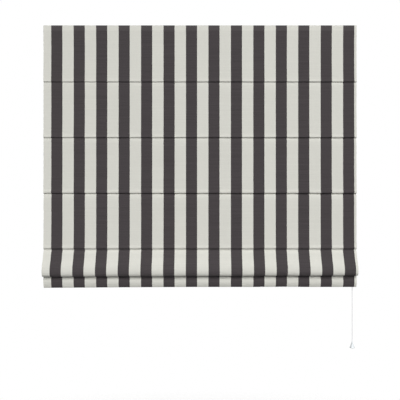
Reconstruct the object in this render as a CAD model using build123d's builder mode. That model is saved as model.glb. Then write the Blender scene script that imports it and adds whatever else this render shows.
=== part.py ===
"""Roman blind: a striped cloth on five thin rods, drawn up by cords from a head rail on the wall.

The wall is the plane Y = 0 and the room lies towards -Y. X runs to the right along the rail and
Z points up. The origin is the middle of the four wall screw holes. The cloth hangs from a hook
and loop tape on the rail. Each rod sits in a pocket sewn across the back of the cloth and carries
four rings. Four cords run from the rings of the lowest rod up to the rail, over a pulley each,
along the rail into the cord lock, and down to one pull cord. The blind is drawn at rest with its
lowest fold closed, so that the fold hangs in front of the bottom section.
"""

import os
from math import atan2, cos, degrees, hypot, sin, tan

from build123d import *

os.makedirs("parts", exist_ok=True)

# Cloth and its stripes
CLOTH_WIDTH = 1534.0
CLOTH_THICK = 1.0
CLOTH_TOP_Z = 53.0
CLOTH_FACE_Y = -48.0  # the face that the room sees
FIRST_DROP = 272.6  # from the top edge to the first rod
PANEL_DROP = 273.0  # from rod to rod with the cloth hanging full length
BOTTOM_DROP = 168.4  # from the lowest rod to the hem
STRIPE_PITCH = 110.0
STRIPE_WIDTH = 54.6
STRIPE_MARGIN = 38.2  # light cloth left of the first dark stripe
STRIPE_DEPTH = 0.3

# How one panel lies over the next
LIP = 4.0  # a panel reaches this far below the rod behind it
LAP = 1.6  # the next panel's top lies this far behind it
STEP_BACK = 4.8  # a closed fold holds its lower rod this much nearer to the wall
FOLDED_PITCH = 23.0  # from rod to rod in a closed fold

# The closed lowest fold
FOLD_OUT = 34.0
FOLD_DROP = 136.0  # from its upper rod down to its turn
FOLD_TURN_R = 14.0
FOLD_KNEE = 5.0  # from the lip above it down to the bend
FOLD_KNEE_R = 10.0
FOLD_FULLNESS = 1.23  # how much more steeply than a straight line the cloth leaves its rod

# Rods in their pockets
ROD_R = 2.0
ROD_CHAMFER = 0.4
ROD_PLAY = 0.3
ROD_INSET = 12.0  # a rod ends this far inside the cloth's edge

# Rings and cords
CORD_COUNT = 4
CORD_INSET = 167.0  # from the cloth's edge to the outermost cords
CORD_R = 0.7
LANE_PITCH = 1.6  # the cords run side by side, this far apart
RING_R = 5.0
RING_WIRE_R = 1.2
RING_TAB = 1.0
RING_GAP = 0.1
STOP_R = 2.5
STOP_EDGE_R = 0.6
STOP_LENGTH = 7.0

# Head rail and the tapes on its front
RAIL_INSET = 3.0  # the rail ends this far inside the cloth's edge
RAIL_DEPTH = 38.0
RAIL_HEIGHT = 28.0
RAIL_WALL = 1.2
RAIL_LIP = 6.0
RAIL_BELOW_CLOTH_TOP = 3.0
TAPE_THICK = 1.0
TAPE_HEIGHT = 25.0
TAPE_INSET = 6.0
CAP_PLATE = 2.0
CAP_PLUG_DEPTH = 2.0
CAP_PLUG_HEIGHT = 18.0

# Wall brackets
SCREW_SPACING_Z = 20.0
SCREW_HOLE_R = 2.5
BRACKET_INSET = 84.0  # from the rail's end to the middle of a bracket
BRACKET_WIDTH = 30.0
BRACKET_THICK = 2.0
BRACKET_FOOT_Z = -18.0
BRACKET_BEND_R = 3.0
CLAMP_SCREW_R = 1.9
CLAMP_HOLE_R = 2.2
CLAMP_HEAD_R = 4.0
CLAMP_HEAD = 2.2
NUT_WIDTH = 16.0
NUT_THICK = 3.0
NUT_BORE_PLAY = 0.1

# Pulleys in their cradles
PIN_R = 1.5
PIN_PLAY = 0.05
PULLEY_R = 6.0
PULLEY_FLANGE_R = 7.4
PULLEY_BARREL = 6.8
FLANGE_THICK = 1.0
CORD_LIFT = 0.15  # between a cord and the drum it runs over
CRADLE_LENGTH = 24.0
CRADLE_BASE = 1.8
CRADLE_CHEEK = 2.0
CRADLE_PLAY = 0.6
CHEEK_OVER_PIN = 4.5
SLOT_PLAY = 1.4  # around a cord in the slot it leaves the rail by
GUIDE_R = 18.0  # the cords' sideways bends on their way into the lock
BEND_EASE = 0.05  # a bend over a wheel is this much smaller than the runs that it joins

# Cord lock at the right end of the rail
PULL_INSET = 9.4  # from the rail's end to the pull cord
PULL_FROM_BACK = 6.5  # from the rail's back to the pull cord
LOCK_LENGTH = 39.0
LOCK_LEAD_IN = 3.2  # the cords run straight this far before the lock
LOCK_BASE = 1.5
LOCK_CHEEK = 1.6
LOCK_ROLLER_R = 5.0
LOCK_ROLLER_WIDTH = 6.6
LOCK_PLAY = 0.2
LOCK_CHEEK_TOP = 1.3  # below the underside of the rail's lip
PAWL_BACK = 17.0  # from the roller's axis to the pawl's
PAWL_BOSS_R = 2.9
PAWL_REACH = 10.4
PAWL_NOSE = 1.7
PAWL_OVER_CORD = 0.35
PAWL_PIN_RISE = 4.6

# Pull cord and what hangs on it
CONNECTOR_Z = -290.0
CONNECTOR_LENGTH = 24.0
CONNECTOR_COLLAR = 8.0
CONNECTOR_TOP_R = 4.5
CONNECTOR_FOOT_R = 2.2
PULL_CORD_R = 1.0
PULL_CORD_LENGTH = 1189.0
WEIGHT_LENGTH = 32.0
WEIGHT_TOP_R = 4.0
WEIGHT_FOOT_R = 12.0
WEIGHT_RIM = 2.0
WEIGHT_BORE_PLAY = 0.1
KNOT_R = 3.0
KNOT_POCKET_R = 4.0
KNOT_POCKET_DEPTH = 9.0

# Bottom bar in the hem
BAR_HALF_HEIGHT = 11.1
BAR_HALF_THICK = 2.9
BAR_PLAY = 0.4
BAR_INSET = 12.0
BAR_CAP = 2.0
HEM_BULGE = 1.5  # the hem stands this far in front of the cloth above it
HEM_JOIN = 10.0  # the flat cloth meets the hem this far above the hem's middle

# Places that follow from the sizes
rail_length = CLOTH_WIDTH - 2 * RAIL_INSET
rail_front = CLOTH_FACE_Y + CLOTH_THICK + 2 * TAPE_THICK
rail_back = rail_front + RAIL_DEPTH
rail_top = CLOTH_TOP_Z - RAIL_BELOW_CLOTH_TOP
rail_foot = rail_top - RAIL_HEIGHT
rail_floor = rail_foot + RAIL_WALL
lip_foot = rail_top - RAIL_WALL
rail_inner_depth = RAIL_DEPTH - 2 * RAIL_WALL
rail_middle_y = rail_front + RAIL_DEPTH / 2
bracket_x = rail_length / 2 - BRACKET_INSET
pull_x = rail_length / 2 - PULL_INSET
pull_y = rail_back - PULL_FROM_BACK

pocket_in_r = ROD_R + ROD_PLAY
pocket_r = pocket_in_r + CLOTH_THICK
rod_y = CLOTH_FACE_Y + LAP + pocket_r
ring_reach = RING_R + RING_WIRE_R
ring_from_rod = pocket_r + RING_GAP + RING_TAB + ring_reach
cord_y = rod_y + ring_from_rod

rod_z = [CLOTH_TOP_Z - FIRST_DROP - n * PANEL_DROP for n in range(4)]
lowest_rod_y = rod_y + STEP_BACK
lowest_rod_z = rod_z[-1] - FOLDED_PITCH
rods = [(rod_y, z) for z in rod_z] + [(lowest_rod_y, lowest_rod_z)]

cord_spacing = (CLOTH_WIDTH - 2 * CORD_INSET) / (CORD_COUNT - 1)
cord_x = [(n - (CORD_COUNT - 1) / 2) * cord_spacing for n in range(CORD_COUNT)]
lanes = [(n - (CORD_COUNT - 1) / 2) * LANE_PITCH for n in range(CORD_COUNT)]

bend_r = PULLEY_R + CORD_LIFT + CORD_R
pulley_z = rail_floor + CRADLE_BASE + PULLEY_FLANGE_R + CRADLE_PLAY
run_z = pulley_z + bend_r
lock_bend_r = LOCK_ROLLER_R + CORD_LIFT + CORD_R
roller_x = pull_x - lock_bend_r
roller_z = run_z - lock_bend_r
lane_reach = lanes[-1] + CORD_R
slot_length = 2 * (CORD_R + SLOT_PLAY)
slot_width = 2 * (lane_reach + SLOT_PLAY)

stripe_x = -CLOTH_WIDTH / 2 + STRIPE_MARGIN
stripe_count = int((CLOTH_WIDTH - STRIPE_MARGIN - STRIPE_WIDTH) // STRIPE_PITCH) + 1


def keep(piece, label):
    """Name a finished piece and write it to its own file."""
    piece.part.label = label
    export_step(piece.part, f"parts/{label}.step")


# Head rail: a folded metal channel, open above, with a slot in its floor for each cord
with BuildPart() as head_rail:
    with BuildSketch(Plane.YZ.offset(-rail_length / 2)):
        with Locations((rail_middle_y, rail_foot + RAIL_HEIGHT / 2)):
            Rectangle(RAIL_DEPTH, RAIL_HEIGHT)
            Rectangle(rail_inner_depth, RAIL_HEIGHT - 2 * RAIL_WALL, mode=Mode.SUBTRACT)
        with Locations((rail_middle_y, rail_top - RAIL_WALL / 2)):
            Rectangle(RAIL_DEPTH - 2 * RAIL_LIP, RAIL_WALL, mode=Mode.SUBTRACT)
    extrude(amount=rail_length)
    with BuildSketch(Plane.XY.offset(rail_foot)):
        with Locations(*[(x, cord_y) for x in cord_x], (pull_x, pull_y)):
            Rectangle(slot_length, slot_width)
    extrude(amount=RAIL_WALL, mode=Mode.SUBTRACT)
keep(head_rail, "head_rail")

# End caps: a plate over each end with a plug that grips inside the front of the channel
plug_back = pull_y - LOCK_ROLLER_WIDTH / 2 - LOCK_PLAY - LOCK_CHEEK - LOCK_PLAY
plug_front = rail_front + RAIL_WALL + PIN_PLAY
for side, label in ((-1, "end_cap_left"), (1, "end_cap_right")):
    with BuildPart() as end_cap:
        with Locations(
            (side * (rail_length + CAP_PLATE) / 2, rail_middle_y, rail_foot + RAIL_HEIGHT / 2)
        ):
            Box(CAP_PLATE, RAIL_DEPTH, RAIL_HEIGHT)
        fillet(end_cap.edges().filter_by(Axis.X), radius=RAIL_WALL)
        with Locations(
            (
                side * (rail_length - CAP_PLUG_DEPTH) / 2,
                (plug_front + plug_back) / 2,
                lip_foot - PIN_PLAY - CAP_PLUG_HEIGHT / 2,
            )
        ):
            Box(CAP_PLUG_DEPTH, plug_back - plug_front, CAP_PLUG_HEIGHT)
    keep(end_cap, label)

# Hook tape on the rail and loop tape on the cloth
for layer, label in enumerate(("hook_tape", "loop_tape")):
    with BuildPart() as tape:
        with Locations(
            (0, rail_front - (layer + 0.5) * TAPE_THICK, rail_foot + RAIL_HEIGHT / 2)
        ):
            Box(CLOTH_WIDTH - 2 * TAPE_INSET, TAPE_THICK, TAPE_HEIGHT)
    keep(tape, label)

# Wall brackets: a folded steel angle with two screw holes in the leg on the wall
for side, label in ((-1, "wall_bracket_left"), (1, "wall_bracket_right")):
    with BuildPart() as bracket:
        with BuildSketch(Plane.YZ.offset(side * bracket_x - BRACKET_WIDTH / 2)):
            with BuildLine():
                FilletPolyline(
                    (-BRACKET_THICK / 2, BRACKET_FOOT_Z),
                    (-BRACKET_THICK / 2, rail_top + BRACKET_THICK / 2),
                    (rail_front, rail_top + BRACKET_THICK / 2),
                    radius=BRACKET_BEND_R - BRACKET_THICK / 2,
                )
            trace(line_width=BRACKET_THICK)
        extrude(amount=BRACKET_WIDTH)
        with BuildSketch(Plane.XZ):
            with Locations(*[(side * bracket_x, k * SCREW_SPACING_Z / 2) for k in (-1, 1)]):
                Circle(SCREW_HOLE_R)
        extrude(amount=2 * BRACKET_THICK, both=True, mode=Mode.SUBTRACT)
        with BuildSketch(Plane.XY.offset(rail_top)):
            with Locations((side * bracket_x, rail_middle_y)):
                Circle(CLAMP_HOLE_R)
        extrude(amount=BRACKET_THICK, mode=Mode.SUBTRACT)
    keep(bracket, label)

# Clamp screws through the brackets, and the nut plates under the rail's lips that they draw up
clamp_places = [(side * bracket_x, rail_middle_y) for side in (-1, 1)]
with BuildPart() as clamp_nuts:
    with BuildSketch(Plane.XY.offset(lip_foot - NUT_THICK)):
        with Locations(*clamp_places):
            Rectangle(NUT_WIDTH, rail_inner_depth - 2 * CRADLE_PLAY)
            Circle(CLAMP_SCREW_R + NUT_BORE_PLAY, mode=Mode.SUBTRACT)
    extrude(amount=NUT_THICK)
keep(clamp_nuts, "clamp_nuts")

with BuildPart() as clamp_screws:
    with BuildSketch(Plane.XY.offset(lip_foot - NUT_THICK)):
        with Locations(*clamp_places):
            Circle(CLAMP_SCREW_R)
    extrude(amount=NUT_THICK + RAIL_WALL + BRACKET_THICK)
    with BuildSketch(Plane.XY.offset(rail_top + BRACKET_THICK)):
        with Locations(*clamp_places):
            Circle(CLAMP_HEAD_R)
    extrude(amount=CLAMP_HEAD)
keep(clamp_screws, "clamp_screws")

# Pulley cradles on the rail's floor, each with a pulley on a pin
drum_half = PULLEY_BARREL / 2 + FLANGE_THICK
cheek_in = drum_half + CRADLE_PLAY
with BuildPart() as pulley_axles:
    for x in cord_x:
        with BuildSketch(Plane.XZ.offset(-cord_y)):
            with Locations((x + bend_r, pulley_z)):
                Circle(PIN_R)
        extrude(amount=cheek_in + CRADLE_CHEEK, both=True)
keep(pulley_axles, "pulley_axles")

for n, x in enumerate(cord_x):
    pulley_x = x + bend_r
    with BuildPart() as cradle:
        with Locations((pulley_x, rail_middle_y, rail_floor + CRADLE_BASE / 2)):
            Box(CRADLE_LENGTH, rail_inner_depth - 2 * PIN_PLAY, CRADLE_BASE)
        with BuildSketch(Plane.XY.offset(rail_floor)):
            with Locations((x, cord_y)):
                Rectangle(slot_length, slot_width)
        extrude(amount=CRADLE_BASE, mode=Mode.SUBTRACT)
        for side in (-1, 1):
            cheek_y = cord_y + side * (cheek_in + CRADLE_CHEEK / 2)
            with BuildSketch(Plane.XZ.offset(-cheek_y)):
                with Locations((pulley_x, pulley_z)):
                    Circle(CHEEK_OVER_PIN)
                with BuildLine():
                    Polyline(
                        (pulley_x - CRADLE_LENGTH / 2, rail_floor),
                        (pulley_x + CRADLE_LENGTH / 2, rail_floor),
                        (pulley_x + CHEEK_OVER_PIN, pulley_z),
                        (pulley_x - CHEEK_OVER_PIN, pulley_z),
                        close=True,
                    )
                make_face()
                with Locations((pulley_x, pulley_z)):
                    Circle(PIN_R + PIN_PLAY, mode=Mode.SUBTRACT)
            extrude(amount=CRADLE_CHEEK / 2, both=True)
    keep(cradle, f"pulley_cradle_{n + 1}")

    with BuildPart() as pulley:
        with BuildSketch(Plane.XZ.offset(-cord_y)):
            with Locations((pulley_x, pulley_z)):
                Circle(PULLEY_R)
        extrude(amount=PULLEY_BARREL / 2, both=True)
        for side in (-1, 1):
            with BuildSketch(Plane.XZ.offset(-cord_y + side * (PULLEY_BARREL + FLANGE_THICK) / 2)):
                with Locations((pulley_x, pulley_z)):
                    Circle(PULLEY_FLANGE_R)
            extrude(amount=FLANGE_THICK / 2, both=True)
        with BuildSketch(Plane.XZ.offset(-cord_y)):
            with Locations((pulley_x, pulley_z)):
                Circle(PIN_R + PIN_PLAY)
        extrude(amount=cheek_in, both=True, mode=Mode.SUBTRACT)
    keep(pulley, f"pulley_{n + 1}")

# Cord lock: a case with two cheeks, a guide roller, and a pawl that grips the cords
lock_in = LOCK_ROLLER_WIDTH / 2 + LOCK_PLAY
lock_end = rail_length / 2 - CAP_PLUG_DEPTH - LOCK_PLAY
lock_start = lock_end - LOCK_LENGTH
lock_top = lip_foot - LOCK_CHEEK_TOP
pawl_x = roller_x - PAWL_BACK
pawl_z = run_z + PAWL_PIN_RISE
lock_pins = {"roller_pin": (roller_x, roller_z), "pawl_pin": (pawl_x, pawl_z)}
with BuildPart() as cord_lock_case:
    with Locations(((lock_start + lock_end) / 2, rail_middle_y, rail_floor + LOCK_BASE / 2)):
        Box(LOCK_LENGTH, rail_inner_depth - 2 * PIN_PLAY, LOCK_BASE)
    with BuildSketch(Plane.XY.offset(rail_floor)):
        with Locations((pull_x, pull_y)):
            Rectangle(slot_length, 2 * (lane_reach + CORD_LIFT))
    extrude(amount=LOCK_BASE, mode=Mode.SUBTRACT)
    for side in (-1, 1):
        with BuildSketch(Plane.XZ.offset(-pull_y - side * (lock_in + LOCK_CHEEK / 2))):
            with Locations(((lock_start + lock_end) / 2, (rail_floor + lock_top) / 2)):
                Rectangle(LOCK_LENGTH, lock_top - rail_floor)
            with Locations(*lock_pins.values()):
                Circle(PIN_R + PIN_PLAY, mode=Mode.SUBTRACT)
        extrude(amount=LOCK_CHEEK / 2, both=True)
keep(cord_lock_case, "cord_lock_case")

for label, place in lock_pins.items():
    with BuildPart() as pin:
        with BuildSketch(Plane.XZ.offset(-pull_y)):
            with Locations(place):
                Circle(PIN_R)
        extrude(amount=lock_in + LOCK_CHEEK, both=True)
    keep(pin, label)

with BuildPart() as lock_roller:
    with BuildSketch(Plane.XZ.offset(-pull_y)):
        with Locations((roller_x, roller_z)):
            Circle(LOCK_ROLLER_R)
            Circle(PIN_R + PIN_PLAY, mode=Mode.SUBTRACT)
    extrude(amount=LOCK_ROLLER_WIDTH / 2, both=True)
keep(lock_roller, "lock_roller")

nose_z = run_z + CORD_R + PAWL_OVER_CORD
with BuildPart() as lock_pawl:
    with BuildSketch(Plane.XZ.offset(-pull_y)):
        with Locations((pawl_x, pawl_z)):
            Circle(PAWL_BOSS_R)
        with BuildLine():
            Polyline(
                (pawl_x, pawl_z + PAWL_BOSS_R),
                (pawl_x + PAWL_REACH, nose_z + 2 * PAWL_NOSE),
                (pawl_x + PAWL_REACH, nose_z + PAWL_NOSE / 2),
                (pawl_x + PAWL_REACH - PAWL_NOSE, nose_z),
                (pawl_x + PAWL_REACH - 2 * PAWL_NOSE, nose_z + PAWL_NOSE / 2),
                (pawl_x + PAWL_REACH - 3 * PAWL_NOSE, nose_z),
                (pawl_x, pawl_z - PAWL_BOSS_R),
                close=True,
            )
        make_face()
        with Locations((pawl_x, pawl_z)):
            Circle(PIN_R + PIN_PLAY, mode=Mode.SUBTRACT)
    extrude(amount=LOCK_ROLLER_WIDTH / 2, both=True)
keep(lock_pawl, "lock_pawl")


def straight_cord(start, end, radius):
    """One straight run of cord between two points."""
    run = Vector(end) - Vector(start)
    with BuildPart() as cord:
        with BuildSketch(Plane(origin=start, z_dir=tuple(run))):
            Circle(radius)
        extrude(amount=run.length)
    return cord.part


# Cords along the rail: up past a pulley each, side by side over the others, and into the lock
leave_x = cord_x[-1] + 2 * bend_r
lead_in_x = lock_start - LOCK_LEAD_IN
cord_lengths = []
with BuildPart() as rail_cords:
    for x, lane in zip(cord_x, lanes):
        with BuildLine():
            route = FilletPolyline(
                (x, cord_y + lane, pulley_z),
                (x, cord_y + lane, run_z),
                (leave_x + GUIDE_R, cord_y + lane, run_z),
                (lead_in_x, pull_y + lane, run_z),
                (pull_x, pull_y + lane, run_z),
                (pull_x, pull_y + lane, roller_z),
                radius=[bend_r - BEND_EASE, GUIDE_R, GUIDE_R, lock_bend_r - BEND_EASE],
            )
        with BuildSketch(Plane(origin=route @ 0, z_dir=route % 0)):
            Circle(CORD_R)
        sweep(path=route)
        cord_lengths.append(route.length)
keep(rail_cords, "rail_cords")

# Cords from the rail down through the rings, one length to each rod
levels = [(cord_y, pulley_z)] + [(y + ring_from_rod, z) for y, z in rods]
stop_top = lowest_rod_z - RING_WIRE_R - RING_GAP
for n in range(5):
    (upper_y, upper_z), (lower_y, lower_z) = levels[n], levels[n + 1]
    if n == 4:
        upper_z -= 2 * RING_GAP
        lower_z = stop_top
    with BuildPart() as lift_cords:
        for x, lane in zip(cord_x, lanes):
            add(straight_cord((x, upper_y + lane, upper_z), (x, lower_y + lane, lower_z), CORD_R))
    keep(lift_cords, f"lift_cords_{n + 1}")

# Cord stops under the lowest rings
with BuildPart() as cord_stops:
    with BuildSketch(Plane.XY.offset(stop_top - RING_GAP - STOP_LENGTH)):
        with Locations(*[(x, levels[5][0] + lane) for x, lane in zip(cord_x, lanes)]):
            Circle(STOP_R)
    extrude(amount=STOP_LENGTH)
    fillet(cord_stops.edges().filter_by(GeomType.CIRCLE), radius=STOP_EDGE_R)
keep(cord_stops, "cord_stops")

# Cords from the lock down to the connector, where one pull cord takes over
with BuildPart() as lock_cords:
    for lane in lanes:
        add(
            straight_cord(
                (pull_x, pull_y + lane, roller_z), (pull_x, pull_y + lane, CONNECTOR_Z), CORD_R
            )
        )
keep(lock_cords, "lock_cords")

connector_foot = CONNECTOR_Z - CONNECTOR_LENGTH
pull_axis = Plane(origin=(pull_x, pull_y, 0), x_dir=(1, 0, 0), z_dir=(0, -1, 0))
with BuildPart() as cord_connector:
    with BuildSketch(pull_axis):
        with BuildLine():
            Polyline(
                (0, CONNECTOR_Z),
                (CONNECTOR_TOP_R, CONNECTOR_Z),
                (CONNECTOR_TOP_R, CONNECTOR_Z - CONNECTOR_COLLAR),
                (CONNECTOR_FOOT_R, connector_foot),
                (0, connector_foot),
                close=True,
            )
        make_face()
    revolve(axis=Axis((pull_x, pull_y, 0), (0, 0, 1)))
keep(cord_connector, "cord_connector")

weight_top = connector_foot - PULL_CORD_LENGTH
weight_foot = weight_top - WEIGHT_LENGTH
knot_z = weight_foot + KNOT_POCKET_DEPTH - KNOT_R
with BuildPart() as pull_cord:
    add(straight_cord((pull_x, pull_y, connector_foot), (pull_x, pull_y, knot_z), PULL_CORD_R))
    with Locations((pull_x, pull_y, knot_z)):
        Sphere(KNOT_R)
keep(pull_cord, "pull_cord")

# Cord weight: a turned cone with the knot in a pocket underneath
weight_bore_r = PULL_CORD_R + WEIGHT_BORE_PLAY
with BuildPart() as cord_weight:
    with BuildSketch(pull_axis):
        with BuildLine():
            shoulder = (WEIGHT_TOP_R, weight_top)
            flare = (
                WEIGHT_TOP_R + (WEIGHT_FOOT_R - WEIGHT_TOP_R) / 3,
                weight_top - WEIGHT_LENGTH / 2,
            )
            rim = (WEIGHT_FOOT_R, weight_foot + WEIGHT_RIM)
            Spline(shoulder, flare, rim)
            Polyline(
                rim,
                (WEIGHT_FOOT_R, weight_foot),
                (KNOT_POCKET_R, weight_foot),
                (KNOT_POCKET_R, weight_foot + KNOT_POCKET_DEPTH),
                (weight_bore_r, weight_foot + KNOT_POCKET_DEPTH),
                (weight_bore_r, weight_top),
                shoulder,
            )
        make_face()
    revolve(axis=Axis((pull_x, pull_y, 0), (0, 0, 1)))
keep(cord_weight, "cord_weight")


def stripe_and_cloth(profile, skin, cloth_label, number):
    """One length of cloth across the whole width, with the dark stripes set flush in its face."""
    with BuildPart() as stripes:
        for n in range(stripe_count):
            with BuildSketch(Plane.YZ.offset(stripe_x + n * STRIPE_PITCH)):
                add(skin)
            extrude(amount=STRIPE_WIDTH)
    with BuildPart() as cloth:
        with BuildSketch(Plane.YZ.offset(-CLOTH_WIDTH / 2)):
            add(profile)
        extrude(amount=CLOTH_WIDTH)
        add(stripes.part, mode=Mode.SUBTRACT)
    keep(cloth, cloth_label)
    keep(stripes, f"dark_stripes_{number}")


def strip(top, foot, thick):
    """A side view of a straight strip of cloth, from the face at its top to the face at its foot."""
    with BuildSketch() as sketch:
        with BuildLine():
            Polyline(
                top, (top[0] + thick, top[1]), (foot[0] + thick, foot[1]), foot, close=True
            )
        make_face()
    return sketch.sketch


def pocket(y, z):
    """A side view of the sewn loop of cloth around a rod."""
    with BuildSketch() as sketch:
        with Locations((y, z)):
            Circle(pocket_r)
            Circle(pocket_in_r, mode=Mode.SUBTRACT)
    return sketch.sketch


# Top panel, straight down from the tape to its lip over the first rod
top_edge = (CLOTH_FACE_Y, CLOTH_TOP_Z)
top_foot = (CLOTH_FACE_Y, rod_z[0] - LIP)
stripe_and_cloth(
    strip(top_edge, top_foot, CLOTH_THICK), strip(top_edge, top_foot, STRIPE_DEPTH), "panel_1", 1
)

# Panels on the first three rods: a pocket, and a strip that leans forward to the next lip
for n in range(3):
    panel_top = (rod_y - pocket_r, rod_z[n])
    panel_foot = (CLOTH_FACE_Y, rod_z[n + 1] - LIP)
    with BuildSketch() as panel_side:
        add(strip(panel_top, panel_foot, CLOTH_THICK))
        add(pocket(rod_y, rod_z[n]))
        with Locations((rod_y, rod_z[n])):
            Circle(pocket_in_r, mode=Mode.SUBTRACT)
    stripe_and_cloth(
        panel_side.sketch,
        strip(panel_top, panel_foot, STRIPE_DEPTH),
        f"panel_{n + 2}",
        n + 2,
    )

# The closed fold on the fourth rod. The cloth drops past the lip above it, bends at a knee and
# runs out in a straight line, which an arc brings upright where the soft turn begins. A shallow
# arc takes it back up from the turn to the fifth rod.
turn_z = rod_z[3] - FOLD_DROP + FOLD_TURN_R
fold_out_y = CLOTH_FACE_Y - FOLD_OUT
fold_top = (rod_y - pocket_r, rod_z[3])
knee = (rod_y - pocket_r, rod_z[3] - LIP - FOLD_KNEE)
fold_end = (lowest_rod_y - pocket_r - LAP + CLOTH_THICK, lowest_rod_z + LIP)
out = knee[0] - fold_out_y
down = knee[1] - turn_z
fold_angle = FOLD_FULLNESS * atan2(out, down)
belly_r = (down - out / tan(fold_angle)) * sin(fold_angle) / (1 - cos(fold_angle))
belly_start = (
    fold_out_y + belly_r * (1 - cos(fold_angle)),
    turn_z + belly_r * sin(fold_angle),
)


def folded(thick):
    """A side view of the closed fold's cloth, thick millimetres of it in from its face."""
    with BuildSketch() as sketch:
        with BuildLine():
            FilletPolyline(fold_top, knee, belly_start, radius=FOLD_KNEE_R)
            TangentArc(belly_start, (fold_out_y, turn_z), tangent=(-sin(fold_angle), -cos(fold_angle)))
            turn = ThreePointArc(
                (fold_out_y, turn_z),
                (fold_out_y + FOLD_TURN_R, turn_z - FOLD_TURN_R),
                (fold_out_y + 2 * FOLD_TURN_R, turn_z),
            )
            TangentArc(turn @ 1, fold_end, tangent=(0, 1))
            offset(amount=thick, side=Side.RIGHT)
        make_face()
    return sketch.sketch


with BuildSketch() as fold_side:
    add(folded(CLOTH_THICK))
    add(pocket(rod_y, rod_z[3]))
    with Locations((rod_y, rod_z[3])):
        Circle(pocket_in_r, mode=Mode.SUBTRACT)
stripe_and_cloth(fold_side.sketch, folded(STRIPE_DEPTH), "panel_5", 5)

# Bottom section on the fifth rod, with the hem around its bar
hem_in = (BAR_HALF_THICK + BAR_PLAY, BAR_HALF_HEIGHT + BAR_PLAY)
hem_out = (hem_in[0] + CLOTH_THICK, hem_in[1] + CLOTH_THICK)
section_face = CLOTH_FACE_Y + STEP_BACK
section_top = (lowest_rod_y - pocket_r, lowest_rod_z)
hem_y = section_face - HEM_BULGE + hem_out[0]
hem_z = lowest_rod_z - BOTTOM_DROP + hem_out[1]
section_foot = (section_face, hem_z + HEM_JOIN)
with BuildSketch() as bottom_side:
    add(strip(section_top, section_foot, CLOTH_THICK))
    add(pocket(lowest_rod_y, lowest_rod_z))
    with Locations((lowest_rod_y, lowest_rod_z)):
        Circle(pocket_in_r, mode=Mode.SUBTRACT)
    with Locations((hem_y, hem_z)):
        Ellipse(*hem_out)
        Ellipse(*hem_in, mode=Mode.SUBTRACT)
with BuildSketch() as bottom_skin:
    with Locations((hem_y, hem_z)):
        Ellipse(*hem_out)
        Ellipse(hem_out[0] - STRIPE_DEPTH, hem_out[1] - STRIPE_DEPTH, mode=Mode.SUBTRACT)
    with Locations((hem_y + hem_out[0], hem_z)):
        Rectangle(2 * hem_out[0], 2 * hem_out[1], mode=Mode.SUBTRACT)
    add(strip(section_top, section_foot, STRIPE_DEPTH))
stripe_and_cloth(bottom_side.sketch, bottom_skin.sketch, "bottom_section", 6)

# Rods, and the rings clipped behind their pockets
rod_length = CLOTH_WIDTH - 2 * ROD_INSET
for n, (y, z) in enumerate(rods):
    with BuildPart() as rod:
        with BuildSketch(Plane.YZ.offset(-rod_length / 2)):
            with Locations((y, z)):
                Circle(ROD_R)
        extrude(amount=rod_length)
        chamfer(rod.edges().filter_by(GeomType.CIRCLE), length=ROD_CHAMFER)
    keep(rod, f"rod_{n + 1}")

    tab_front = y + pocket_r + RING_GAP
    tab_length = RING_TAB + RING_WIRE_R
    with BuildPart() as rings:
        with Locations(*[(x, y + ring_from_rod, z) for x in cord_x]):
            Torus(RING_R, RING_WIRE_R)
        with Locations(*[(x, tab_front + tab_length / 2, z) for x in cord_x]):
            Box(2 * RING_WIRE_R, tab_length, 2 * RING_WIRE_R)
    keep(rings, f"rod_rings_{n + 1}")

# Bottom bar: an oval extrusion in the hem, with a cap on each end
bar_length = CLOTH_WIDTH - 2 * BAR_INSET
with BuildPart() as bottom_bar:
    with BuildSketch(Plane.YZ.offset(-bar_length / 2)):
        with Locations((hem_y, hem_z)):
            Ellipse(BAR_HALF_THICK, BAR_HALF_HEIGHT)
    extrude(amount=bar_length)
keep(bottom_bar, "bottom_bar")

for side, label in ((-1, "bar_cap_left"), (1, "bar_cap_right")):
    cap_start = bar_length / 2 if side > 0 else -bar_length / 2 - BAR_CAP
    with BuildPart() as bar_cap:
        with BuildSketch(Plane.YZ.offset(cap_start)):
            with Locations((hem_y, hem_z)):
                Ellipse(BAR_HALF_THICK, BAR_HALF_HEIGHT)
        extrude(amount=BAR_CAP)
    keep(bar_cap, label)

# What the record needs: where each rod is and how far the joints travel
for number, (y, z) in enumerate(rods, start=1):
    print(f"rod {number}: y {y:.2f} z {z:.2f}")
for number, (x, length) in enumerate(zip(cord_x, cord_lengths), start=1):
    print(f"pulley {number}: x {x + bend_r:.2f} y {cord_y:.2f} z {pulley_z:.2f}, rail run {length:.1f}")
print(f"lock roller: x {roller_x:.2f} y {pull_y:.2f} z {roller_z:.2f}")
print(f"lock pawl: x {pawl_x:.2f} z {pawl_z:.2f}")
print(f"pull cord ends at z {knot_z:.1f}, weight foot at z {weight_foot:.1f}")
fold_slope = degrees(atan2(STEP_BACK, PANEL_DROP - FOLDED_PITCH))
print(f"slide of a fold: {hypot(STEP_BACK, PANEL_DROP - FOLDED_PITCH):.3f} at {fold_slope:.3f} degrees")
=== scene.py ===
import math

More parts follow.
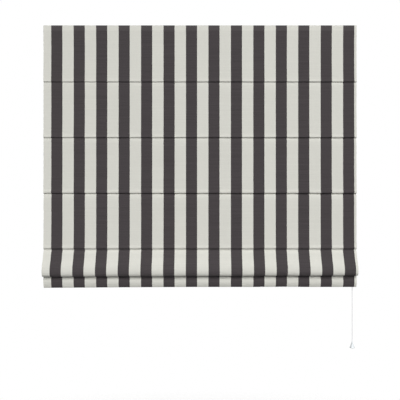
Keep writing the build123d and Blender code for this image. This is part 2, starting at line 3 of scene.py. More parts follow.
import bmesh
import bpy
import numpy as np
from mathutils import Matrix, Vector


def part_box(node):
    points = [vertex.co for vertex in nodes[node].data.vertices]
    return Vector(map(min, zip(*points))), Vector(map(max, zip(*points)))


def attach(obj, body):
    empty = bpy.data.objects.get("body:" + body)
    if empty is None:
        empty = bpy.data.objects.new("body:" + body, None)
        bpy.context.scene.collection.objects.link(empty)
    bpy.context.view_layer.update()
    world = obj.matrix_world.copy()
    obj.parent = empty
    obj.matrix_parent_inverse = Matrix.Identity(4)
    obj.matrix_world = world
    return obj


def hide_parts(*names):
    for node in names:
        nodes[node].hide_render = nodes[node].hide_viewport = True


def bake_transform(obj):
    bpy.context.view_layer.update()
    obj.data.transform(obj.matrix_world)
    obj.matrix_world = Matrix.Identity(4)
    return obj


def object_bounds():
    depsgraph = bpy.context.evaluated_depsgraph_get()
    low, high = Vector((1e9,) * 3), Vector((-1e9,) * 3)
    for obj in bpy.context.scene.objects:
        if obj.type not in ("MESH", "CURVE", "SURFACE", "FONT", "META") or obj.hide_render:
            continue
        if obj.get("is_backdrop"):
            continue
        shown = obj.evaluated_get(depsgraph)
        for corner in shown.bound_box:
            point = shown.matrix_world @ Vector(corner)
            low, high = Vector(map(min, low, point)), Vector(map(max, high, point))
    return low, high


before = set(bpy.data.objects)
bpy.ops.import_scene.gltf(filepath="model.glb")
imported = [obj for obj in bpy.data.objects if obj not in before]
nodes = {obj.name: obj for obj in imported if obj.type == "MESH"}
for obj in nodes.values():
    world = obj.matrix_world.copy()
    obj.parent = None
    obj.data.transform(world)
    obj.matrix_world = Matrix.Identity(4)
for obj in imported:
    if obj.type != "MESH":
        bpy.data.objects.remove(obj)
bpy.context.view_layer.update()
scene = bpy.context.scene


# Wall brackets. Two strips of zinc-plated steel, bent to an L and screwed to the wall. Each holds
# the rail's lips by a clamp screw with a square nut plate inside the rail.
FINE_GRAIN = 900.0
BROAD_GRAIN = 23.0
WEAR_GRAIN = 170.0
WEAR_LEAST = 0.32
WEAR_GAIN = 14.0
WORN_EDGE = 0.0007


def feed(tree, socket, value):
    """Links a socket to another one, or gives it a plain value."""
    if isinstance(value, bpy.types.NodeSocket):
        tree.links.new(value, socket)
    else:
        socket.default_value = value


def add_node(tree, kind, inputs=None, **properties):
    """A new shader node with its properties set and its inputs fed by label."""
    node = tree.nodes.new("ShaderNode" + kind)
    for label, value in properties.items():
        setattr(node, label, value)
    for label, value in (inputs or {}).items():
        feed(tree, node.inputs[label], value)
    return node


def calc(tree, operation, *values):
    """What a Math node makes of sockets and plain numbers."""
    node = add_node(tree, "Math", operation=operation)
    for socket, value in zip(node.inputs, values):
        feed(tree, socket, value)
    return node.outputs[0]


def weigh(tree, base, *parts):
    """A base to which each value is added, times its weight."""
    for value, weight in parts:
        base = calc(tree, "MULTIPLY_ADD", value, weight, base)
    return base


def mix_colours(tree, share, first, second):
    """The colour that lies the given share of the way from the first to the second."""
    node = add_node(tree, "Mix", data_type="RGBA")
    for place, value in ((0, share), (6, first), (7, second)):
        value = (*value, 1.0) if isinstance(value, tuple) and len(value) == 3 else value
        feed(tree, node.inputs[place], value)
    return node.outputs[2]


def new_group(name, inputs, outputs):
    """An empty node group with named inputs, their plain values, and named outputs."""
    tree = bpy.data.node_groups.new(name, "ShaderNodeTree")
    for label, value in inputs.items():
        kind = "NodeSocketVector" if value is None else "NodeSocketFloat"
        socket = tree.interface.new_socket(label, in_out="INPUT", socket_type=kind)
        if value is not None:
            socket.default_value = value
    for label in outputs:
        tree.interface.new_socket(label, in_out="OUTPUT", socket_type="NodeSocketFloat")
    return tree, tree.nodes.new("NodeGroupInput"), tree.nodes.new("NodeGroupOutput")


def place_group(tree, group, **inputs):
    """A node group placed in a material, its inputs fed by label."""
    node = add_node(tree, "Group", node_tree=group)
    for label, value in inputs.items():
        feed(tree, node.inputs[label.replace("_", " ")], value)
    return node


def new_material(name, colour, roughness, metallic=0.0, **plain):
    """A material, its node tree and its Principled shader with plain values."""
    material = bpy.data.materials.new(name)
    material.use_nodes = True
    shader = material.node_tree.nodes["Principled BSDF"]
    shader.inputs["Base Color"].default_value = (*colour, 1)
    shader.inputs["Roughness"].default_value = roughness
    shader.inputs["Metallic"].default_value = metallic
    for label, value in plain.items():
        shader.inputs[label.replace("_", " ")].default_value = value
    return material, material.node_tree, shader


# Grain: a fine and a broad noise, both about 0.5.
grain, given, result = new_group("grain", {"Place": None}, ["Fine", "Broad"])
for label, scale, detail in (("Fine", FINE_GRAIN, 3.0), ("Broad", BROAD_GRAIN, 4.0)):
    noise = add_node(
        grain, "TexNoise", {"Vector": given.outputs["Place"], "Scale": scale, "Detail": detail}
    )
    grain.links.new(noise.outputs["Fac"], result.inputs[label])

# Edge wear: 1 where the surface turns within the radius, broken up by noise.
edge_wear, given, result = new_group("edge_wear", {"Place": None, "Radius": 0.001}, ["Worn"])
rounded = add_node(edge_wear, "Bevel", {"Radius": given.outputs["Radius"]}, samples=4)
surface = add_node(edge_wear, "NewGeometry")
facing = add_node(edge_wear, "VectorMath", operation="DOT_PRODUCT")
edge_wear.links.new(rounded.outputs["Normal"], facing.inputs[0])
edge_wear.links.new(surface.outputs["Normal"], facing.inputs[1])
turned_away = calc(edge_wear, "SUBTRACT", 1.0, facing.outputs["Value"])
patchy = add_node(
    edge_wear, "TexNoise", {"Vector": given.outputs["Place"], "Scale": WEAR_GRAIN, "Detail": 4.0}
)
broken = calc(edge_wear, "SUBTRACT", patchy.outputs["Fac"], WEAR_LEAST)
worn = calc(edge_wear, "MULTIPLY", calc(edge_wear, "MULTIPLY", turned_away, broken), WEAR_GAIN)
edge_wear.links.new(calc(edge_wear, "MINIMUM", worn, 1.0), result.inputs["Worn"])


def hard_finish(
    name, colour, worn_colour, roughness, metallic=0.0, drawn=(1, 1, 1), relief=0.00003, **plain
):
    """A hard finish: broad noise shades the colour, worn edges show another one, and fine noise,
    stretched along the way the piece was drawn or moulded, gives its roughness and relief."""
    material, tree, shader = new_material(name, colour, roughness, metallic, **plain)
    place = add_node(tree, "TexCoord").outputs["Object"]
    stretched = add_node(tree, "Mapping", {"Vector": place, "Scale": drawn}).outputs["Vector"]
    noise = place_group(tree, grain, Place=stretched)
    edge = place_group(tree, edge_wear, Place=place, Radius=WORN_EDGE)
    shade = weigh(tree, 0.92, (noise.outputs["Broad"], 0.16))
    tint = add_node(tree, "VectorMath", operation="SCALE")
    tint.inputs[0].default_value = colour
    feed(tree, tint.inputs["Scale"], shade)
    shown = mix_colours(tree, edge.outputs["Worn"], tint.outputs["Vector"], worn_colour)
    feed(tree, shader.inputs["Base Color"], shown)
    gloss = weigh(tree, roughness - 0.1, (noise.outputs["Fine"], 0.2))
    feed(tree, shader.inputs["Roughness"], gloss)
    bump = add_node(tree, "Bump", {"Height": noise.outputs["Fine"], "Distance": relief, "Strength": 0.6})
    feed(tree, shader.inputs["Normal"], bump.outputs["Normal"])
    return material


def dress(material, *names):
    """Gives CAD pieces a material in every slot."""
    for name in names:
        if not nodes[name].material_slots:
            nodes[name].data.materials.append(material)
        for slot in nodes[name].material_slots:
            slot.material = material


zinc_steel = hard_finish(
    "zinc_steel", (0.55, 0.56, 0.57), (0.34, 0.33, 0.32), 0.38, metallic=1.0, relief=0.00002
)
dress(zinc_steel, "wall_bracket_left", "wall_bracket_right", "clamp_screws", "clamp_nuts")


# Head rail. A channel folded from painted steel strip, open to the back, closed at each end by a
# moulded cap that plugs into it.
rail_paint = hard_finish(
    "rail_paint", (0.80, 0.79, 0.76), (0.52, 0.51, 0.49), 0.36, relief=0.00004, Coat_Weight=0.25
)
white_plastic = hard_finish(
    "white_plastic", (0.78, 0.78, 0.76), (0.86, 0.86, 0.85), 0.46, relief=0.00003
)
dress(rail_paint, "head_rail")
dress(white_plastic, "end_cap_left", "end_cap_right")


# Hook and loop tape. The hook half is glued along the rail's front, and the loop half is sewn
# across the back of the cloth, so that the cloth comes off for washing.
PILE_HEIGHT = 0.0006
# How dark the painted shade between the pile's stubs is.
PILE_GAP_SHADE = 0.6


def pile_finish(name, colour, scale):
    """A woven tape with a pile: cells stand up from it as stubs or curls, with painted shade between them.
    """
    material, tree, shader = new_material(name, colour, 0.85)
    place = add_node(tree, "TexCoord").outputs["Object"]
    stubs = add_node(tree, "TexVoronoi", {"Vector": place, "Scale": scale})
    stub = weigh(tree, 1.0, (stubs.outputs["Distance"], -1.4))
    # Painted shade: the colour darkens between the stubs.
    dark = tuple(PILE_GAP_SHADE * part for part in colour)
    feed(tree, shader.inputs["Base Color"], mix_colours(tree, stub, dark, colour))
    bump = add_node(tree, "Bump", {"Height": stub, "Distance": PILE_HEIGHT, "Strength": 0.9})
    feed(tree, shader.inputs["Normal"], bump.outputs["Normal"])
    return material


dress(pile_finish("hook_tape_white", (0.72, 0.72, 0.70), 620.0), "hook_tape")
dress(pile_finish("loop_tape_white", (0.76, 0.76, 0.74), 900.0), "loop_tape")


# Pulleys. Four nylon wheels turn on steel pins between the cheeks of moulded cradles, one above
# each line of rings.
nylon = hard_finish("nylon", (0.70, 0.70, 0.66), (0.80, 0.80, 0.77), 0.34, relief=0.00002)
for number in range(1, 5):
    dress(nylon, f"pulley_{number}")
    dress(white_plastic, f"pulley_cradle_{number}")
dress(zinc_steel, "pulley_axles")


# Cord lock. A moulded case with a guide roller and a toothed pawl that grips the four cords when
# they are drawn to the side.
dress(white_plastic, "cord_lock_case")
dress(nylon, "lock_roller")
dress(zinc_steel, "lock_pawl", "roller_pin", "pawl_pin")


# Rods and rings. Five glass-fibre rods keep the cloth flat, and clear rings are clipped round the
# pockets behind it, four to a rod, for the cords to run through.
rod_fibre = hard_finish(
    "rod_fibre", (0.62, 0.61, 0.54), (0.70, 0.70, 0.66), 0.42, drawn=(0.03, 1, 1), relief=0.00005
)
clear_plastic = hard_finish(
    "clear_plastic", (0.80, 0.82, 0.82), (0.92, 0.93, 0.93), 0.18, relief=0.00001, IOR=1.49,
    Transmission_Weight=0.55,
)
for number in range(1, 6):
    dress(rod_fibre, f"rod_{number}")
    dress(clear_plastic, f"rod_rings_{number}")


# Cloth. A plain-woven furnishing cloth with dark stripes woven in. It is sewn in panels: a pocket
# crosses the back at each rod, and above it the cloth rolls over into a small lip. Sizes are in
# metres, and values with four numbers are for the four panels, from the top.
BODIES = ("headrail", "fold_rod_1", "fold_rod_2", "fold_rod_3", "fold_rod_4", "bottom")
HALF_WIDTH = 0.767
CLOTH_THICK = 0.001
SIDE_HEM = 0.028
HEM_EXTRA = 0.7
HEM_EASE = 0.0004
TOP_Z = 0.053
FACE_Y = -0.048
ROD_Y = -0.0431
ROD_Z = (-0.2196, -0.4926, -0.7656, -1.0386)
LOWEST_ROD = (-0.0383, -1.0616)
POCKET_R = 0.0033
POCKET_SIDES = 20
PUCKER = 0.00011
PANEL_START = 0.003
CLOSE_ROWS = 0.03
LAP = 0.0016
BELLY = 0.0011
RIPPLE = 0.00035
RIPPLE_FADE = 0.03
WAIST = 0.0007
SIDE_WAVER = 0.0003
LIP_DROP = (0.0034, 0.0033, 0.0025, 0.0010)
LIP_OUT = (0.0010, 0.0014, 0.0016, 0.0016)
LIP_ROLL = (0.0042, 0.0048, 0.0066, 0.0056)
LIP_REACH = 0.0072
LIP_BACK_Y = -0.0467
TUCK = (0, 0.0028, 0.0041, 0.0070)
TUCK_START = 0.0015
TUCK_FULL = 0.0055
TUCK_FADE = 0.012
FIRST_STRIPE = -0.7288
STRIPE_PITCH = 0.110
STRIPE_WIDTH = 0.0546
STRIPE_WANDER = 0.0008
STITCH_PITCH = 0.0032
STITCH_SHARE = 0.68
STITCH_HALF = 0.0003
TAPE_FOOT = 0.0255
THREAD_ACROSS = 0.0008
THREAD_ALONG = 0.0009
WEAVE_DEPTH = 0.00025
LIGHT_YARN = (0.683, 0.679, 0.624)
DARK_YARN = (0.0653, 0.0572, 0.0597)
# The dark yarn as painted lighter in the top band: a painted highlight.
HIGHLIT_DARK_YARN = (0.2, 0.19, 0.19)

# Weave: warp and weft threads cross over and under. Place is in metres along weft and warp. The
# crowns also go out to the cloth's colour, as painted shade between the threads.
weave, given, result = new_group(
    "weave", {"Place": None, "Across": 0.001, "Along": 0.001}, ["Height", "Crown_Shade", "Slub"]
)
axes = add_node(weave, "SeparateXYZ", {"Vector": given.outputs["Place"]}).outputs
weft = calc(weave, "MULTIPLY", calc(weave, "DIVIDE", axes["X"], given.outputs["Across"]), math.pi)
warp = calc(weave, "MULTIPLY", calc(weave, "DIVIDE", axes["Y"], given.outputs["Along"]), math.pi)
over = calc(weave, "MULTIPLY", calc(weave, "SINE", weft), calc(weave, "SINE", warp))
weft_crown = calc(weave, "ABSOLUTE", calc(weave, "SINE", weft))
warp_crown = calc(weave, "ABSOLUTE", calc(weave, "SINE", warp))
crowns = weigh(weave, 0.0, (weft_crown, 0.5), (warp_crown, 0.5))
weave.links.new(weigh(weave, crowns, (over, 0.25)), result.inputs["Height"])
weave.links.new(crowns, result.inputs["Crown_Shade"])
streaks = []
for stretch in ((55.0, 1400.0, 1.0), (1500.0, 38.0, 1.0)):
    drawn_out = add_node(weave, "Mapping", {"Vector": given.outputs["Place"], "Scale": stretch})
    streak = add_node(
        weave, "TexNoise", {"Vector": drawn_out.outputs["Vector"], "Scale": 1.0, "Detail": 2.0}
    )
    streaks.append(streak.outputs["Fac"])
slub = calc(weave, "MULTIPLY", calc(weave, "ADD", *streaks), 0.5)
weave.links.new(slub, result.inputs["Slub"])


def noise_value(tree, place, scale, detail, stretch=None):
    """The value of a noise at a place, which may be stretched first."""
    if stretch:
        place = add_node(tree, "Mapping", {"Vector": place, "Scale": stretch}).outputs["Vector"]
    noise = add_node(tree, "TexNoise", {"Vector": place, "Scale": scale, "Detail": detail})
    return noise.outputs["Fac"]


def dark_stripes(tree, across, slub):
    """1 on the dark stripes, whose edges wander a little with the slubs, and 0 between them."""
    wander = weigh(tree, -STRIPE_WANDER / 2, (slub, STRIPE_WANDER))
    repeats = calc(tree, "DIVIDE", calc(tree, "SUBTRACT", across, FIRST_STRIPE), STRIPE_PITCH)
    repeats = calc(tree, "ADD", repeats, calc(tree, "DIVIDE", wander, STRIPE_PITCH))
    within = calc(tree, "FLOORED_MODULO", repeats, 1.0)
    return calc(tree, "LESS_THAN", within, STRIPE_WIDTH / STRIPE_PITCH)


def hem_stitches(tree, across, down):
    """1 on the stitches, which run down the inner edge of each side hem, and 0 beside them."""
    off_line = calc(tree, "SUBTRACT", calc(tree, "ABSOLUTE", across), HALF_WIDTH - SIDE_HEM)
    near = calc(tree, "LESS_THAN", calc(tree, "ABSOLUTE", off_line), STITCH_HALF)
    along = calc(tree, "FRACT", calc(tree, "DIVIDE", down, STITCH_PITCH))
    return calc(tree, "MULTIPLY", near, calc(tree, "LESS_THAN", along, STITCH_SHARE))


def cloth_finish():
    """Yarn colour by place across the width, shaded by slub, by a slow drift, by painted shade
    between the thread crowns, and by flecks and bars that show most on the dark stripes. Stitches
    are darker and sunk in, and a painted highlight lightens the top band, where the loop tape backs it."""
    material, tree, shader = new_material("striped_cloth", LIGHT_YARN, 0.88, Sheen_Weight=0.08)
    shader.inputs["Sheen Roughness"].default_value = 0.5
    shader.inputs["Specular IOR Level"].default_value = 0.06
    place = add_node(tree, "UVMap", uv_map="cloth").outputs["UV"]
    across, down, _ = add_node(tree, "SeparateXYZ", {"Vector": place}).outputs
    woven = place_group(tree, weave, Place=place, Across=THREAD_ACROSS, Along=THREAD_ALONG)
    threads = woven.outputs
    dark = dark_stripes(tree, across, threads["Slub"])
    stitch = hem_stitches(tree, across, down)
    # Painted highlight: the top band, over the loop tape, is painted a little lighter.
    top_band_highlight = calc(tree, "LESS_THAN", down, TAPE_FOOT)
    drift = noise_value(tree, place, 3.1, 3.0)
    flecks = noise_value(tree, place, 240.0, 2.0)
    bars = noise_value(tree, place, 1.0, 2.0, stretch=(3.0, 230.0, 1.0))
    uneven = calc(tree, "SUBTRACT", calc(tree, "ADD", flecks, bars), 1.0)
    # Painted shade: the yarn is painted darker between the thread crowns.
    shade = weigh(
        tree, 0.825, (threads["Slub"], 0.22), (threads["Crown_Shade"], 0.06), (drift, 0.05),
        (uneven, weigh(tree, 0.10, (dark, 0.38))), (top_band_highlight, 0.045), (stitch, -0.12),
    )
    toned = add_node(tree, "VectorMath", operation="SCALE")
    feed(tree, toned.inputs[0], mix_colours(tree, dark, LIGHT_YARN, DARK_YARN))
    feed(tree, toned.inputs["Scale"], shade)
    # Painted highlight: the dark stripes in the top band are painted lighter still.
    painted_highlight_share = calc(tree, "MULTIPLY", calc(tree, "MULTIPLY", top_band_highlight, dark), 0.10)
    shown = mix_colours(tree, painted_highlight_share, toned.outputs["Vector"], HIGHLIT_DARK_YARN)
    feed(tree, shader.inputs["Base Color"], shown)
    gloss = weigh(tree, 0.76, (threads["Slub"], 0.2))
    feed(tree, shader.inputs["Roughness"], gloss)
    height = weigh(tree, threads["Height"], (stitch, -1.2))
    bump = add_node(tree, "Bump", {"Height": height, "Distance": WEAVE_DEPTH, "Strength": 0.55})
    feed(tree, shader.inputs["Normal"], bump.outputs["Normal"])
    return material


striped_cloth = cloth_finish()


def patch(points, uv, wrap=False, flip=False):
    """A grid of points as vertices, four-cornered faces and a UV pair for each corner. wrap joins
    each row's end to its start, and uv then has one column more than points."""
    rows, columns = points.shape[:2]
    index = np.arange(rows * columns).reshape(rows, columns)
    if wrap:
        index = np.column_stack([index, index[:, :1]])

    def corners(values):
        return np.stack([values[:-1, :-1], values[1:, :-1], values[1:, 1:], values[:-1, 1:]], axis=2)

    quads = corners(index).reshape(-1, 4)
    pairs = corners(uv).reshape(-1, 4, 2)
    if flip:
        quads, pairs = quads[:, ::-1], pairs[:, ::-1]
    return points.reshape(-1, 3), quads, pairs


def make_piece(name, patches, material, crease=0.7):
    """One mesh object of several patches, joined where their points meet. It is smooth but where
    faces turn by more than the crease angle."""
    starts = np.cumsum([0] + [len(points) for points, _, _ in patches])
    mesh = bpy.data.meshes.new(name)
    quads = np.vstack([quads + start for (_, quads, _), start in zip(patches, starts)])
    mesh.from_pydata(np.vstack([points for points, _, _ in patches]).tolist(), [], quads.tolist())
    layer = mesh.uv_layers.new(name="cloth" if material is striped_cloth else "lay")
    layer.data.foreach_set("uv", np.vstack([pairs for _, _, pairs in patches]).ravel())
    shape = bmesh.new()
    shape.from_mesh(mesh)
    bmesh.ops.remove_doubles(shape, verts=shape.verts, dist=1e-6)
    shape.to_mesh(mesh)
    shape.free()
    mesh.materials.append(material)
    mesh.polygons.foreach_set("use_smooth", np.ones(len(mesh.polygons), bool))
    mesh.set_sharp_from_angle(angle=crease)
    piece = bpy.data.objects.new(name, mesh)
    scene.collection.objects.link(piece)
    return piece


def rise(value, start, end):
    """0 before start, 1 past end, and a smooth step between them."""
    share = np.clip((value - start) / (end - start), 0, 1)
    return share * share * (3 - 2 * share)


def waves(x, phase):
    """Slow unequal waves across the width: three sines added, from about -1 to 1."""
    return (np.sin(x / 0.061 + phase) + 0.6 * np.sin(x / 0.027 + 2.3 * phase)
            + 0.7 * np.sin(x / 0.143 - phase)) / 2.3


# Columns of points across the cloth stand closer in the side hems, where hemmed is 1.
hem_columns = np.array([0, 0.0007, 0.003, 0.009, 0.017, 0.0255, 0.0275, 0.0285, 0.031, 0.036])
plain_edge = HALF_WIDTH - 0.045
across = np.concatenate(
    [hem_columns - HALF_WIDTH, np.linspace(-plain_edge, plain_edge, 150), (HALF_WIDTH - hem_columns)[::-1]]
)
hem_edge = HALF_WIDTH - SIDE_HEM
hemmed = rise(np.abs(across), hem_edge - HEM_EASE, hem_edge + HEM_EASE)


def cloth_shell(y, z, down, x=None, pressed=1.0):
    """Patches of a sheet: its face is the grid (x, y, z), and its back lies one thickness behind,
    square to the face. pressed is the share of the side hems' extra thickness that shows."""
    x = np.broadcast_to(across, y.shape) if x is None else x
    slope_y, slope_z = np.gradient(y, axis=0), np.gradient(z, axis=0)
    size = np.hypot(slope_y, slope_z)
    thick = CLOTH_THICK * (1 + HEM_EXTRA * hemmed * pressed)
    face = np.stack([x, y, z], axis=-1)
    back = face - np.stack([0 * y, slope_z / size * thick, -slope_y / size * thick], axis=-1)
    uv = np.stack(np.broadcast_arrays(across, np.asarray(down)[:, None]), axis=-1)
    sides = []
    for column, order in ((0, (back, face)), (-1, (face, back))):
        pair = np.stack([grid[:, column] for grid in order], axis=1)
        sides.append(patch(pair, np.repeat(uv[:, column:][:, :1], 2, axis=1)))
    for row, order in ((0, (back, face)), (-1, (face, back))):
        pair = np.stack([grid[row] for grid in order])
        sides.append(patch(pair, np.repeat(uv[row:][:1], 2, axis=0)))
    return [patch(face, uv), patch(back, uv, flip=True), *sides]


def ring_grid(line, radius, sides):
    """Circles of the given radius square to a line of points, as a grid [point, angle]."""
    step = np.gradient(line, axis=0)
    step /= np.linalg.norm(step, axis=1, keepdims=True)
    level = np.cross((0.0, 1.0, 0.0) if abs(step[0, 1]) < 0.5 else (0.0, 0.0, 1.0), step)
    level /= np.linalg.norm(level, axis=1, keepdims=True)
    upright = np.cross(step, level)
    angle = np.arange(sides) * 2 * math.pi / sides
    radius = np.broadcast_to(np.asarray(radius, float), (len(line), sides))[..., None]
    return line[:, None] + radius * (
        np.cos(angle)[:, None] * level[:, None] + np.sin(angle)[:, None] * upright[:, None]
    )


def pocket(name, y, z, phase, down):
    """A rod pocket: a pipe of cloth round the rod, drawn in unevenly along its underside."""
    line = np.column_stack([across, np.full_like(across, y), np.full_like(across, z)])
    turn = np.arange(POCKET_SIDES) * 2 * math.pi / POCKET_SIDES
    swell = PUCKER * (waves(across * 3, phase)[:, None] - 1) * (1 + np.cos(turn))
    outside = ring_grid(line, POCKET_R + swell, POCKET_SIDES)
    inside = ring_grid(line, POCKET_R - CLOTH_THICK + swell * 0.5, POCKET_SIDES)
    around = down + np.arange(POCKET_SIDES + 1) / POCKET_SIDES * 2 * math.pi * POCKET_R
    uv = np.stack(np.broadcast_arrays(across[:, None], around[None, :]), axis=-1)
    ends = []
    for row, order in ((0, (inside, outside)), (-1, (outside, inside))):
        pair = np.stack([grid[row] for grid in order])
        ends.append(patch(pair, np.repeat(uv[row:][:1], 2, axis=0), wrap=True, flip=True))
    return make_piece(
        name,
        [patch(outside, uv, wrap=True, flip=True), patch(inside, uv, wrap=True), *ends],
        striped_cloth,
    )


def lip_rows(y, z, roll):
    """The rows of a lip: half a turn of cloth from the panel's last row back to the pocket, as
    deep as roll, and three rows up behind it."""
    bend = np.linspace(0, math.pi, 9)[1:, None]
    rolled_y = y[-1] + (LIP_BACK_Y - y[-1]) / 2 * (1 - np.cos(bend))
    rolled_z = z[-1] - roll * np.sin(bend)
    rising = np.array([0.0011, 0.0022, 0.0034])[:, None]
    return np.vstack([rolled_y, rolled_y[-1] + 0 * rising]), np.vstack([rolled_z, z[-1] + rising])


def hanging_panel(number, down_start):
    """One hanging panel. From the pocket above, the face is tucked in under the lip there, comes
    forward within a few centimetres, hangs with a slight belly, and rolls round the lip below."""
    sewn_above = float(number > 1)
    lip_roll = LIP_ROLL[number - 1]
    top = TOP_Z if number == 1 else ROD_Z[number - 2] + PANEL_START
    foot = ROD_Z[number - 1] - LIP_DROP[number - 1]
    fall = top - foot - lip_roll
    far = fall - CLOSE_ROWS
    rows = [np.linspace(0, CLOSE_ROWS, 14), np.linspace(CLOSE_ROWS, far, 42), np.linspace(far, fall, 14)]
    drop = np.unique(np.round(np.concatenate(rows), 7))[:, None]
    share = drop / fall
    below = drop - PANEL_START
    lean = sewn_above * LAP * np.clip(1 - share, 0, 1) ** 1.6
    tucked = rise(below, TUCK_START, TUCK_FULL) * np.exp(-np.clip(below - TUCK_FULL, 0, 1) / TUCK_FADE)
    deep = TUCK[number - 1] * (1 + 0.22 * across / HALF_WIDTH + 0.12 * waves(across, number))
    belly = BELLY * np.sin(math.pi * share) * (1 + 0.35 * waves(across, 2 * number))
    near_lip = np.exp(-(((fall - drop) / LIP_REACH) ** 2))
    out = LIP_OUT[number - 1] * (1 + 0.12 * across / HALF_WIDTH + 0.08 * waves(across, number + 4))
    near_rod = 0.4 + np.exp(-np.abs(below) / RIPPLE_FADE) * sewn_above
    ripple = RIPPLE * waves(across * 2.2, 3 * number) * near_rod
    y = FACE_Y + lean + tucked * deep + belly - near_lip * out + ripple
    z = top - drop + 0 * across
    lip_y, lip_z = lip_rows(y, z, lip_roll)
    y = np.vstack([y, lip_y])
    z = np.vstack([z, lip_z])
    share = np.vstack([share, np.ones((len(lip_y), 1))])
    waver = SIDE_WAVER * waves(5 * z, number) * rise(np.abs(across), HALF_WIDTH - 0.02, HALF_WIDTH)
    x = across * (1 - WAIST * np.sin(math.pi * share)) + waver
    pressed = rise(fall - np.vstack([drop, np.full((len(lip_y), 1), fall)]), 0.0, 0.004)
    middle = len(across) // 2
    run = np.hypot(np.diff(y[:, middle]), np.diff(z[:, middle]))
    down = down_start + np.concatenate([[0], np.cumsum(run)])
    piece = make_piece(f"cloth_panel_{number}", cloth_shell(y, z, down, x, pressed), striped_cloth)
    return piece, down[-1] - down_start


cloth_run = 0.0
for number in range(1, 5):
    rod_z = ROD_Z[number - 1]
    panel, panel_length = hanging_panel(number, cloth_run)
    cloth_run += panel_length
    sewn_on = pocket(f"rod_pocket_{number}", ROD_Y, rod_z, phase=number, down=cloth_run)
    cloth_run += 2 * math.pi * POCKET_R
    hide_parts(f"panel_{number}", f"dark_stripes_{number}")
    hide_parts(f"panel_{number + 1}")
    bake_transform(panel)
    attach(sewn_on, BODIES[number])


# Lowest fold. The last panel is folded up: it bulges out from the fourth rod, turns softly under
# and runs back up to the fifth rod behind it. Its left end is a little lower than its right. The
# lines are sections of the cloth, as y and z in millimetres.
FOLD_FRONT = [
    (-46.6, -1035.6), (-46.5, -1038.9), (-44.9, -1041.6), (-42.2, -1044.2), (-41.0, -1047.6),
    (-41.9, -1051.2), (-44.9, -1055.6), (-47.8, -1060.8), (-50.3, -1066.8), (-52.9, -1075.0),
    (-56.0, -1084.5), (-59.8, -1094.0), (-64.1, -1103.0), (-68.6, -1112.0), (-72.6, -1121.0),
    (-75.6, -1130.5), (-77.4, -1140.0), (-77.9, -1147.0), (-77.6, -1153.4), (-76.5, -1159.2),
    (-74.6, -1164.2), (-71.8, -1168.4), (-68.0, -1171.7), (-63.0, -1173.5),
]
FOLD_BACK = [
    (-63.0, -1173.5), (-58.2, -1172.9), (-55.2, -1169.4), (-53.6, -1163.0), (-52.2, -1150.0),
    (-50.4, -1131.0), (-48.4, -1110.0), (-46.4, -1090.0), (-44.4, -1073.0), (-42.7, -1061.0),
    (-42.3, -1058.6), (-41.7, -1057.7), (-40.9, -1058.0), (-40.6, -1058.8),
]
FOLD_TILT = 0.0029
FOLD_WAVE_Y = 0.0011
FOLD_WAVE_Z = 0.0004
FOLD_STIFF_TO = -1.058
FOLD_SOFT_FROM = -1.160


def through(points, rows):
    """A smooth line through the points in even steps. Between two points it is the cubic that
    leaves and meets them with the slopes of the parabolas through their neighbours."""
    points = np.asarray(points, float) / 1000
    gap = np.linalg.norm(np.diff(points, axis=0), axis=1)
    slope = np.gradient(points, np.concatenate([[0], np.cumsum(gap)]), axis=0)
    t = np.linspace(0, 1, 24, endpoint=False)[:, None, None]
    reach = gap[:, None]
    dense = (
        (2 * t**3 - 3 * t**2 + 1) * points[:-1] + (t**3 - 2 * t**2 + t) * slope[:-1] * reach
        + (3 * t**2 - 2 * t**3) * points[1:] + (t**3 - t**2) * slope[1:] * reach
    )
    dense = np.vstack([dense.transpose(1, 0, 2).reshape(-1, 2), points[-1:]])
    length = np.concatenate([[0], np.cumsum(np.linalg.norm(np.diff(dense, axis=0), axis=1))])
    at = np.linspace(0, length[-1], rows)
    return np.column_stack([np.interp(at, length, dense[:, axis]) for axis in (0, 1)]), at


def folded_cloth(name, points, rows, down_start):
    """A length of the fold: the line through the points carried across the width, with slow
    waves in depth and in height, and tilted. The cloth gives from the rods down to the turn."""
    line, run = through(points, rows)
    give = rise(line[:, 1:], FOLD_STIFF_TO, FOLD_SOFT_FROM)
    y = line[:, :1] + FOLD_WAVE_Y * give * waves(across, 0.7)
    z = line[:, 1:] + give * (FOLD_TILT * across / HALF_WIDTH + FOLD_WAVE_Z * waves(across, 2.1))
    return make_piece(name, cloth_shell(y, z, down_start + run), striped_cloth), run[-1]


fold_start = cloth_run - 2 * math.pi * POCKET_R
fold_front, front_length = folded_cloth("last_fold_front", FOLD_FRONT, 64, fold_start)
back_start = fold_start + front_length
fold_back, back_length = folded_cloth("last_fold_back", FOLD_BACK, 60, back_start)
bottom_start = back_start + back_length
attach(fold_front, "fold_rod_4")
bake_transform(fold_back)
for piece, length, carrier in ((fold_front, front_length, "rod_4"), (fold_back, back_length, "rod_5")):
    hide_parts("panel_5", "dark_stripes_5")


# Bottom section. The last length of cloth hangs from the fifth rod, and its foot is turned up
# into a hem that holds the bottom bar. The hem sags a few millimetres at its left end.
BOTTOM_LINE = [
    (-41.6, -1059.6), (-41.7, -1066.0), (-42.0, -1090.0), (-42.4, -1125.0), (-43.2, -1155.0),
    (-44.4, -1173.0), (-46.2, -1182.0), (-48.2, -1190.0), (-49.3, -1197.0), (-49.6, -1203.0),
    (-48.9, -1209.0), (-47.2, -1215.6), (-44.8, -1221.8), (-42.0, -1227.2), (-39.9, -1229.7),
    (-37.6, -1227.8), (-36.2, -1221.5), (-36.1, -1214.0), (-37.8, -1207.0), (-41.6, -1203.4),
    (-45.0, -1201.4),
]
HEM_SAG = 0.0044
HEM_WAVE = 0.0004
HEM_STIFF_TO = -1.204
HEM_SOFT_FROM = -1.228

